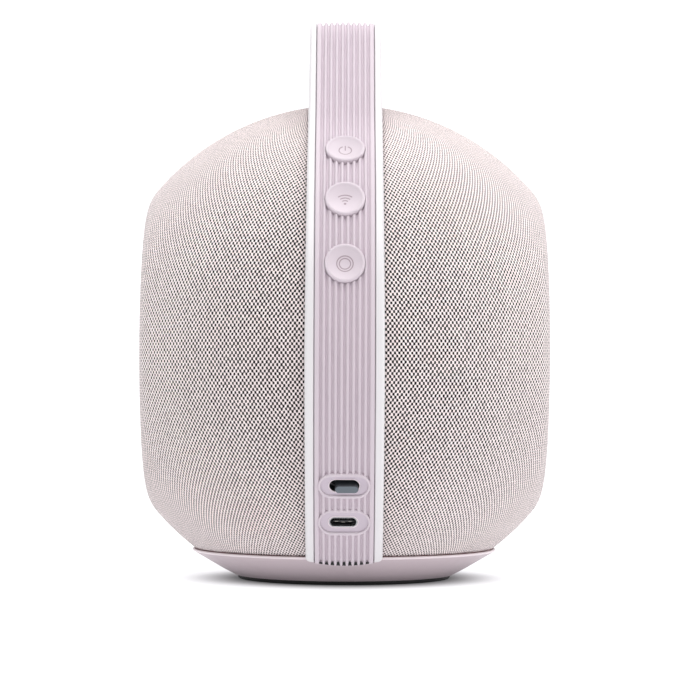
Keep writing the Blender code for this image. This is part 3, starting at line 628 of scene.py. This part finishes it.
def make_hoop():
    """The frame with its stem, socket and screw holes, and the ribbed strip with its button and rim holes."""
    shell_rings = hoop_rings(lambda r, h, f: frame_section(frame_half(h), inner_depth(r, h, f)), 1.0)
    shell = add_mesh("hoop_shell", skin(shell_rings), BALL_FRAME)
    strip = add_mesh("ribbed_strip", skin(hoop_rings(lambda r, h, f: strip_section(), 0.3)), BALL_FRAME)
    strip_cutters, shell_cutters = [], []
    for tag, place, rim in (("switch", SWITCH_TRAY_PLACE, SWITCH_RIM), ("port", PORT_TRAY_PLACE, PORT_RIM)):
        strip_cutters.append(add_mesh(f"rim_hole_{tag}", pills(rim, [(0.15, -7.0), (0.15, 4.0)]), place))
    socket_half = (USB_HALF[0] + GAP, USB_HALF[1] + GAP)
    shell_cutters.append(add_mesh("slot_hole", pills(SLOT_HALF, [(0, -8.0), (0, 4.0)]), SWITCH_TRAY_PLACE))
    shell_cutters.append(add_mesh("socket_hole", pills(socket_half, [(0, -8.0), (0, 4.0)]), SOCKET_PLACE))
    for name, angle in BUTTON_ANGLES.items():
        hole = turned([(0, -3), (BUTTON_HOLE_R, -3), (BUTTON_HOLE_R, 3), (0, 3)], 72)
        stem = turned([(0, -6), (STEM_R + 0.5, -6), (STEM_R + 0.5, 1), (0, 1)], 32)
        strip_cutters.append(add_mesh(f"hole_{name}", hole, hoop_place(angle)))
        shell_cutters.append(add_mesh(f"stem_{name}", stem, hoop_place(angle)))
    for angle in HOOP_SCREW_ANGLES:
        bore = turned([(0, -15), (1.5, -15), (1.5, -2.7), (0, -2.7)], 24)
        shell_cutters.append(add_mesh(f"bore_{angle}", bore, hoop_place(angle)))
    carve(strip, strip_cutters)
    carve(shell, shell_cutters)
    # Black bars in the grooves' ends: painted shade of the gap seen through them.
    tips = combined([tip_shade_bars(side) for side in (-1, 1)])
    dress(add_mesh("tip_shade_bars", tips, BALL_FRAME), LOOKS["black_rubber"])
    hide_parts("handle_frame")
    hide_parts("grip_strip")
    dress(shell, LOOKS["frame"])
    dress(strip, LOOKS["rubber"])


# --- controls ----------------------------------------------------------------------------------------------


DISH_R = 5.1  # where a button's hollow face meets its rim
DISH_RIM = 0.22  # its height there
DISH_FLOOR = -0.95
MARK_WIDTH = 0.34


def dish_height(x, y):
    """Height of a button's hollow face at that place."""
    return DISH_FLOOR + (DISH_RIM - DISH_FLOOR) * (math.hypot(x, y) / DISH_R) ** 2


def button_profile():
    dish = [(DISH_R * i / 14, dish_height(DISH_R * i / 14, 0)) for i in range(15)]
    rim = rounded([(DISH_R, DISH_RIM, 0), (5.55, 0.5, 0.5), (BUTTON_R, 0.46, 0.5), (BUTTON_R, -0.6, 0)], 6)
    back = [(BUTTON_R, BUTTON_BASE), (STEM_R, BUTTON_BASE), (STEM_R, STEM_END), (0, STEM_END)]
    return dish + rim[1:] + back


def ribbon(path, width, surface, closed=False, thick=0.09):
    """A flat line of that width along an (x, y) path, lying on the surface(x, y)."""
    rings = []
    last = len(path) - 1
    for i, (x, y) in enumerate(path):
        before = path[i - 1] if closed or i > 0 else path[0]
        after = path[(i + 1) % len(path)] if closed or i < last else path[last]
        ahead = (Vector(after) - Vector(before)).normalized()
        half = ahead.orthogonal() * width / 2
        edges = [(x + half.x, y + half.y), (x - half.x, y - half.y)]
        top = [(u, v, surface(u, v) + thick / 3) for u, v in edges]
        under = [(u, v, surface(u, v) - thick) for u, v in reversed(edges)]
        rings.append(top + under)
    return skin(rings, closed)


def circle(radius, start=0.0, end=360.0, steps=48, centre=(0.0, 0.0)):
    """Points along a circle or an arc. A whole circle leaves its last point out."""
    whole = end - start >= 360
    turns = [math.radians(start + (end - start) * i / steps) for i in range(steps + (0 if whole else 1))]
    return [(centre[0] + radius * math.cos(t), centre[1] + radius * math.sin(t)) for t in turns]


def power_marks(surface):
    """A broken ring with a bar in its gap."""
    ring = ribbon(circle(1.98, 115, 425), MARK_WIDTH, surface)
    return [ring, ribbon([(0, 0.1 + 0.42 * i) for i in range(6)], MARK_WIDTH, surface)]


def pairing_marks(surface):
    """Three arcs over a dot, a generic wireless sign."""
    arcs = [ribbon(circle(r, 48, 132, 20, (0, -1.5)), MARK_WIDTH, surface) for r in (1.3, 2.3, 3.3)]
    return [*arcs, ribbon(circle(0.22, steps=16, centre=(0, -1.5)), 0.40, surface, closed=True)]


def link_marks(surface):
    """Two rings, one in the other."""
    return [ribbon(circle(radius), MARK_WIDTH, surface, closed=True) for radius in (2.55, 1.75)]


def make_buttons():
    marks = {"power_button": power_marks, "pairing_button": pairing_marks, "link_button": link_marks}
    for name, angle in BUTTON_ANGLES.items():
        cap = add_mesh(name.replace("button", "cap"), turned(button_profile(), 72), hoop_place(angle), 50.0)
        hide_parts(name)
        dress(cap, LOOKS["rubber"], name)
        lines = combined(marks[name](dish_height))
        symbol = add_mesh(name.replace("button", "symbol"), lines, hoop_place(angle))
        # The symbol's lines are darker than the cap: painted shade.
        dress(symbol, LOOKS["mark_shade"], name)


def make_tray(tag, place, outer, inner, opening, opening_x=0.0):
    """A raised pill-shaped rim, the recessed plate inside it, darkened by painted shade, and a lighter bead
    round the plate's opening, a painted highlight.
    """
    back = -2.25

    def opening_rings(line):
        return [
            [(x + opening_x, y, z) for x, y, z in pill(opening[0] + grow, opening[1] + grow, height)]
            for grow, height in line
        ]

    # Each inset becomes a share of the way from the rim's outer outline to its inner one.
    corners = [(0.0, back, 0), (0.0, PILL_RIM_TOP, 0.4), (0.85, PILL_RIM_TOP, 0.35), (0.95, back, 0)]
    rings = []
    for inset, height in rounded(corners):
        share = inset / corners[-1][0]
        rings.append(pill(*(outer[k] + (inner[k] - outer[k]) * share for k in (0, 1)), height))
    rim = add_mesh(f"{tag}_rim", skin(rings, wrap=True), place, 40.0)
    dress(rim, LOOKS["rubber"])
    rings = [pill(inner[0] + 0.05, inner[1] + 0.05, height) for height in (back, RECESS_FLOOR)]
    edge = rounded([(0.4, RECESS_FLOOR, 0), (0, RECESS_FLOOR, 0.25), (0, back, 0)], 4)
    # The recessed floor wears the darker tone: painted shade.
    plate = add_mesh(f"{tag}_plate", skin(rings + opening_rings(edge), wrap=True), place, 40.0)
    dress(plate, LOOKS["plate"])
    low, high = RECESS_FLOOR - 0.3, RECESS_FLOOR + 0.1
    edge = rounded([(-0.02, low, 0), (-0.02, high, 0.1), (0.24, high, 0.1), (0.24, low, 0)], 4)
    # A light bead round the opening: painted highlight on its edge.
    highlight_bead = add_mesh(f"{tag}_bead", skin(opening_rings(edge), wrap=True), place, 60.0)
    dress(highlight_bead, LOOKS["trim"])


def make_mic_switch():
    """The slide switch: its tray, the dark well under the slot and the knob, whose sides are darkened by
    painted shade under its lighter face.
    """
    make_tray("switch", SWITCH_TRAY_PLACE, SWITCH_RIM, SWITCH_RECESS, SLOT_HALF)
    outer, inner = (SLOT_HALF[0] - 0.02, SLOT_HALF[1] - 0.02), 0.12
    top = RECESS_FLOOR - 0.35
    well = pills(outer, [(0, top), (0, WELL_FLOOR - 0.3), (inner, WELL_FLOOR), (inner, top)], wrap=True)
    dress(add_mesh("switch_well", well, SWITCH_TRAY_PLACE), LOOKS["black_plastic"])
    low, high = KNOB_HEIGHTS
    line = rounded([(0, low, 0), (0, high, 0.18), (1.1, high - 0.05, 0)], 6)
    knob_angle = SWITCH_ANGLE - math.degrees(KNOB_LOW / HOOP_R)
    place = hoop_place(knob_angle, KNOB_REST_X, SWITCH_ANGLE)
    knob = add_mesh("slide_knob", pills(KNOB_HALF, [*line, (1.4, high - 0.07)]), place, 50.0)
    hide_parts("mic_switch_knob")
    # The knob's sides wear the darker copy of its plastic: painted shade.
    dress(knob, LOOKS["knob_side_shade"], "mic_switch_knob")
    line = rounded([(0.12, high - 0.1, 0), (0.12, high + 0.05, 0.08), (1.0, high + 0.03, 0)], 4)
    face = add_mesh("knob_face", pills(KNOB_HALF, line), place, 50.0)
    dress(face, LOOKS["grey_plastic"], "mic_switch_knob")


def box_shape(low, high):
    """The eight corners and six faces of a box."""
    rings = [
        [(low[0], low[1], z), (high[0], low[1], z), (high[0], high[1], z), (low[0], high[1], z)]
        for z in (low[2], high[2])
    ]
    return skin(rings)


def make_usb_socket():
    """The charging socket: its tray, a drawn steel shell with a rolled lip, a tongue with contacts, and a
    black sleeve inside the shell as painted shade of its depth.
    """
    opening = (USB_HALF[0] + 0.12, USB_HALF[1] + 0.28)
    make_tray("port", PORT_TRAY_PLACE, PORT_RIM, PORT_RECESS, opening, SOCKET_X)
    place = SOCKET_PLACE
    back, mouth = -USB_DEPTH, USB_LIP
    line = [(0, back), (0, mouth - 0.12), (0.06, mouth - 0.02), (0.14, mouth)]
    line += [(USB_WALL - 0.04, mouth - 0.05), (USB_WALL, mouth - 0.15), (USB_WALL, back + 0.6)]
    shell = add_mesh("socket_shell", pills(USB_HALF, line), place, 50.0)
    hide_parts("usb_c_shell")
    dress(shell, LOOKS["steel"])
    low, high = back + 0.9, mouth - 1.0
    rings = [pill(3.35, 0.35, low, 6), pill(3.35, 0.35, high - 0.25, 6), pill(3.2, 0.2, high, 6)]
    tongue = add_mesh("socket_tongue", skin(rings), place)
    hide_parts("usb_c_tongue")
    dress(tongue, LOOKS["black_plastic"])
    pads = []
    for side in (-1, 1):
        for i in (0, 1, 2, 3, 5, 6, 8, 9, 10, 11):
            x = -2.75 + 0.5 * i
            rows = sorted((side * 0.34, side * 0.37))
            reach = high - (0.9 if i in (5, 6) else 0.35)
            pads.append(box_shape((x - 0.13, rows[0], low + 1.0), (x + 0.13, rows[1], reach)))
    for middle, rise, half in ((-2.1, -0.12, 0.5), (2.1, -0.12, 0.5), (0.0, -0.34, 0.55)):
        corner = (middle + half, rise + 0.12, high + 0.02)
        pads.append(box_shape((middle - half, rise, high - 0.3), corner))
    dress(add_mesh("socket_contacts", combined(pads), place), LOOKS["contacts"])
    # A black sleeve inside the steel shell: painted shade of the socket's dark depth.
    shade_lining = pills(
        (USB_HALF[0] - USB_WALL - 0.02, USB_HALF[1] - USB_WALL - 0.02),
        [(0, mouth - 1.5), (0, back + 0.7), (0.12, back + 0.72), (0.12, mouth - 1.5)],
        wrap=True,
    )
    dress(add_mesh("socket_shade_lining", shade_lining, place), LOOKS["black_plastic"])


# --- touch strip on the crown ---------------------------------------------------------------------------


def make_touch_strip():
    """The touch strip under the handle, with its microphone ports and its plus, play and minus marks."""
    half, low, high = PANEL_HALF, PANEL_IN, PANEL_OUT
    right = rounded([(0, low, 0), (half, low, 0.15), (half, high, 0.55), (0, high, 0)], 5)
    section = right + [(-x, r) for x, r in reversed(right)][1:-1]
    start, end = PANEL_ANGLES
    steps = 52
    angles = [start + (end - start) * i / steps for i in range(steps + 1)]
    rings = [[on_ring(angle, x, radius) for x, radius in section] for angle in angles]
    panel = add_mesh("touch_strip", skin(rings), BALL_FRAME)
    cutters = []
    for side in (-1, 1):
        port = turned([(0, -6), (0.5, -6), (0.5, 0), (0, 0)], 20)
        cutters.append(add_mesh(f"port_{side}", port, hoop_place(90.0, side * 6.5)))
    carve(panel, cutters)
    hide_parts("top_touch_panel")
    dress(panel, LOOKS["rubber"])

    def surface(x, y):
        return high - HOOP_R - y * y / (2 * high)

    bar = [(-2.2 + 0.55 * i, 0) for i in range(9)]
    upright = [(0, x) for x, _ in bar]
    triangle = [(1.9, 0), (-1.3, 1.8), (-1.3, -1.8)]
    spots = {
        "minus_mark": (76.0, [ribbon(bar, 0.5, surface)]),
        "play_mark": (90.0, [ribbon(triangle, 0.45, surface, closed=True)]),
        "plus_mark": (104.0, [ribbon(bar, 0.5, surface), ribbon(upright, 0.5, surface)]),
    }
    # The marks are darker than the panel: painted shade.
    for name, (angle, shapes) in spots.items():
        dress(add_mesh(name, combined(shapes), hoop_place(angle)), LOOKS["mark_shade"])


# --- fabric covers --------------------------------------------------------------------------------------


def cap_radius():
    edge_x = math.sqrt(BODY_R**2 - CAP_EDGE_R**2)
    sagitta = HALF_WIDTH - edge_x
    return (CAP_EDGE_R**2 + sagitta**2) / (2 * sagitta)


def cover_line(step=1.5, edge_round=14.0):
    """(radius, x) points of a cover's outline: along the ball, round the edge and over the side cap."""
    cap_r = cap_radius()
    cap_centre = HALF_WIDTH - cap_r
    start = math.acos(SHELL_START_X / BODY_R)
    # The edge's arc touches the ball and the cap from inside: its centre lies edge_round inside both.
    ball_in, cap_in = BODY_R - edge_round, cap_r - edge_round
    centre_x = (ball_in**2 - cap_in**2 + cap_centre**2) / (2 * cap_centre)
    centre_r = math.sqrt(ball_in**2 - centre_x**2)
    leave = math.atan2(centre_r, centre_x)
    join = math.atan2(centre_r, centre_x - cap_centre)
    count = int(BODY_R * (start - leave) / step)
    line = []
    for i in range(count):
        turn = start + (leave - start) * i / count
        line.append((BODY_R * math.sin(turn), BODY_R * math.cos(turn)))
    for i in range(9):
        turn = leave + (join - leave) * i / 8
        line.append((centre_r + edge_round * math.sin(turn), centre_x + edge_round * math.cos(turn)))
    edge = line[-1][0]
    count = int(edge / step)
    for i in range(1, count + 1):
        radius = edge * (1 - i / count)
        line.append((radius, cap_centre + math.sqrt(cap_r**2 - radius**2)))
    return line


def knit_coords(points):
    """Column and row of the knit at places in the ball's frame, in millimetres.

    Columns run up the ball like meridians that close in a little above and below; rows run level.
    """
    x, y, z = np.abs(points[:, 0]), points[:, 1], points[:, 2]
    level = np.clip(z / BODY_R, -0.995, 0.995)
    around = np.arctan2(x, -y)
    lean = np.sin(2 * around) / 2 - 0.407 * np.cos(around)
    column = BODY_R / STITCH_PITCH * (around - 0.45 * level**2 * lean)
    bow = 1 + 0.7 * ((x - 36) / BODY_R) ** 2
    row = BODY_R / COURSE_PITCH * np.arcsin(level) * bow
    return column, row


def openness(points):
    """How open the pores are: widest beside the hoop, closing towards the side caps, top and bottom."""
    out = np.abs(points[:, 0]) / HALF_WIDTH
    up = np.clip(points[:, 2] / BODY_R, 0, 1)
    down = np.clip(-points[:, 2] / BODY_R, 0, 1)
    return np.clip(1.05 - 0.28 * out**2 - 0.62 * up**3 - 0.42 * down**2.6, 0.1, 1.0)


def make_cover(tag, side):
    """One side's knitted cover, stretched over its grille and tucked in above the base."""
    line = cover_line()
    steps = 200
    turns = [math.tau * i / steps for i in range(steps)]
    rings = [[(r * math.cos(t), r * math.sin(t), x) for t in turns] for r, x in line]
    points, faces = skin(rings)
    del faces[-2]
    cover = add_mesh(f"cover_{tag}", (points, faces), side_place(side), 60.0)
    bm = bmesh.new()
    bm.from_mesh(cover.data)
    low = Vector((0, 0, (SEAM_Z + SEAM_GAP) * MM))
    everything = [*bm.verts, *bm.edges, *bm.faces]
    down = (0, 0, -1)
    bmesh.ops.bisect_plane(bm, geom=everything, dist=1e-6, plane_co=low, plane_no=down, clear_outer=True)
    bm.normal_update()
    outwards = sum(f.normal.dot(f.calc_center_median() - BALL) for f in bm.faces)
    if outwards < 0:
        bmesh.ops.reverse_faces(bm, faces=bm.faces)
    bm.to_mesh(cover.data)
    bm.free()
    mesh = cover.data
    co = np.zeros(len(mesh.vertices) * 3)
    mesh.vertices.foreach_get("co", co)
    local = (co.reshape(-1, 3) - np.array(BALL)) / MM
    column, row = knit_coords(local)
    corner = np.zeros(len(mesh.loops), int)
    mesh.loops.foreach_get("vertex_index", corner)
    layer = mesh.uv_layers.new(name="knit")
    layer.data.foreach_set("uv", np.stack([column[corner], row[corner]], 1).ravel())
    pores = mesh.attributes.new("openness", "FLOAT", "POINT")
    pores.data.foreach_set("value", openness(local).astype(np.float32))
    thicken = cover.modifiers.new("thickness", "SOLIDIFY")
    thicken.thickness = FABRIC_T * MM
    thicken.offset = -1.0
    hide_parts(f"fabric_{tag}")
    dress(cover, LOOKS["fabric"])


# --- base ------------------------------------------------------------------------------------------------


def round_bead(radius, height, half_width, half_height):
    """A ring round the base whose section is an ellipse."""
    turns = np.linspace(0, math.tau, 12, endpoint=False)
    section = [(radius + half_width * math.cos(t), height + half_height * math.sin(t)) for t in turns]
    return turned(section, BASE_STEPS, wrap=True)


def make_base():
    """The dished base with its rolled lip and a painted highlight along it, the seam's cord above it and the
    rubber foot under it.
    """
    underside = [(0, 4.2, 0), (27.6, 4.2, 0), (28.0, 1.3, 0.2), (36.6, 1.3, 0.4)]
    wall = [(41.1, 3.6, 14.0), (49.9, 8.7, 1.2)]
    lip = [(51.0, 9.7, 0.5), (50.6, SEAM_Z - 0.05, 0.3), (48.2, SEAM_Z, 0.5)]
    inside = [(44.6, 7.9, 1.0), (40.5, 5.4, 1.0), (0, 4.7, 0)]
    profile = rounded(underside + wall + lip + inside, 6)
    base = add_mesh("base_dish", turned(profile, BASE_STEPS), FLOOR_FRAME, 40.0)
    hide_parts("base_cup")
    dress(base, LOOKS["base"])
    # A light ring along the lip: painted highlight.
    highlight_bead = round_bead(50.8, 9.72, 0.42, 0.42)
    dress(add_mesh("base_trim", highlight_bead, FLOOR_FRAME, 60.0), LOOKS["trim"])
    cord = round_bead(50.1, SEAM_Z + 0.02, 0.35, 0.3)
    dress(add_mesh("seam_cord", cord, FLOOR_FRAME, 60.0), LOOKS["seam"])
    tread = [(28.3, 0, 0.5), (35.8, 0, 0.7)]
    ring = rounded([(30, 2.2, 0), (28.3, 2.2, 0.2), *tread, (35.8, 2.2, 0.2), (32, 2.2, 0)], 4)
    foot = add_mesh("foot_pad", turned(ring, BASE_STEPS, wrap=True), FLOOR_FRAME, 40.0)
    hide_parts("foot_ring")
    dress(foot, LOOKS["black_rubber"])


# --- CAD nodes that stay ---------------------------------------------------------------------------------


def dress_cad_nodes():
    """Gives every CAD node that still shows its procedural material, found by its packed material's name."""
    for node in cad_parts.values():
        if node.hide_render:
            continue
        packed = node.data.materials[0].name.split(".")[0]
        node.data.materials.clear()
        node.data.materials.append(LOOKS[packed])


# --- stage, light and camera --------------------------------------------------------------------------------


# The floor's glow weakens towards the object's axis: a painted contact shadow round its foot.
FLOOR_TONE, FLOOR_GLOW, FLOOR_SHADOW_FADE = 0.36, 0.82, (34.0, 58.0)
WALL_TONE, WALL_GLOW = 0.6, 0.75


def add_white(name, points, faces, tone, glow, shadow_fade=None):
    """A matte white piece of the stage that also glows a little, as a lit studio surface does.

    The last argument is the two distances from the world's axis between which the glow rises to its full
    strength; the weaker glow inside paints a contact shadow round the object.
    """
    mesh = bpy.data.meshes.new(name)
    mesh.from_pydata(points, [], faces)
    mesh.shade_smooth()
    piece = bpy.data.objects.new(name, mesh)
    bpy.context.scene.collection.objects.link(piece)
    made, tree, shader = new_material(f"{name}_white", 0.9)
    clouds = mix_colours(tree, noise(tree, 400.0), rgba((tone,) * 3, 0.99), rgba((tone,) * 3, 1.01))
    tree.links.new(clouds, shader.inputs["Base Color"])
    shader.inputs["Specular IOR Level"].default_value = 0.0
    shader.inputs["Emission Color"].default_value = (0.97, 0.975, 1, 1)
    shader.inputs["Emission Strength"].default_value = glow
    if shadow_fade:
        away = add_node(tree, "ShaderNodeVectorMath", {0: object_coords(tree)}, operation="LENGTH").outputs[1]
        # Weaker glow near the axis: painted contact shadow.
        strength = smooth_step(tree, away, shadow_fade[0] * MM, shadow_fade[1] * MM, 0.12 * glow, glow)
        tree.links.new(strength, shader.inputs["Emission Strength"])
    mesh.materials.append(made)


def make_stage():
    """A level white floor, and a white wall far behind the object that curves up out of it."""
    floor = [(x, y, 0.0) for y in (-3.0, 2.0) for x in (-6.0, 6.0)]
    add_white("floor_sheet", floor, [(0, 1, 3, 2)], FLOOR_TONE, FLOOR_GLOW, FLOOR_SHADOW_FADE)
    turns = np.linspace(0.0, math.pi / 2, 17)
    profile = [(2.0 + 1.5 * math.sin(t), 1.5 - 1.5 * math.cos(t)) for t in turns] + [(3.5, 5.0)]
    wall = [(x, y, z) for y, z in profile for x in (-6.0, 6.0)]
    faces = [(2 * i, 2 * i + 1, 2 * i + 3, 2 * i + 2) for i in range(len(profile) - 1)]
    add_white("back_wall", wall, faces, WALL_TONE, WALL_GLOW)


def add_softbox(name, place, target, size, power):
    data = bpy.data.lights.new(name, "AREA")
    data.shape = "RECTANGLE"
    data.size, data.size_y = size
    data.energy = power
    lamp = bpy.data.objects.new(name, data)
    bpy.context.scene.collection.objects.link(lamp)
    lamp.location = place
    lamp.rotation_euler = (Vector(target) - Vector(place)).to_track_quat("-Z", "Y").to_euler()


def make_light():
    world = bpy.data.worlds.new("studio")
    bpy.context.scene.world = world
    world.use_nodes = True
    background = world.node_tree.nodes["Background"]
    background.inputs["Color"].default_value = (1.0, 0.995, 1.0, 1.0)
    background.inputs["Strength"].default_value = 0.39
    add_softbox("top_softbox", (0.1, -0.36, 2.1), BALL, (3.0, 3.0), 72.0)
    add_softbox("right_softbox", (1.35, -0.4, 0.4), BALL, (0.7, 0.9), 3.0)
    bpy.context.scene.view_settings.view_transform = "Standard"


CAMERA_DISTANCE = 1.0
CAMERA_DROP = 0.005  # how far the camera is below the ball's centre
CAMERA_TILT = 0.43
CAMERA_ROLL = 0.17
CAMERA_ASIDE = 0.0002
CAMERA_LENS = 154.4


def make_camera():
    data = bpy.data.cameras.new("camera")
    data.lens = CAMERA_LENS
    data.sensor_width = 36.0
    camera = bpy.data.objects.new("camera", data)
    bpy.context.scene.collection.objects.link(camera)
    camera.location = (-CAMERA_ASIDE, -CAMERA_DISTANCE, BALL.z - CAMERA_DROP)
    camera.rotation_euler = (math.radians(90 + CAMERA_TILT), math.radians(-CAMERA_ROLL), 0.0)
    bpy.context.scene.camera = camera


make_camera()
make_light()
make_stage()
make_hoop()
make_buttons()
make_mic_switch()
make_usb_socket()
make_touch_strip()
for cover_tag, cover_side in (("left", -1), ("right", 1)):
    make_cover(cover_tag, cover_side)
make_base()
dress_cad_nodes()
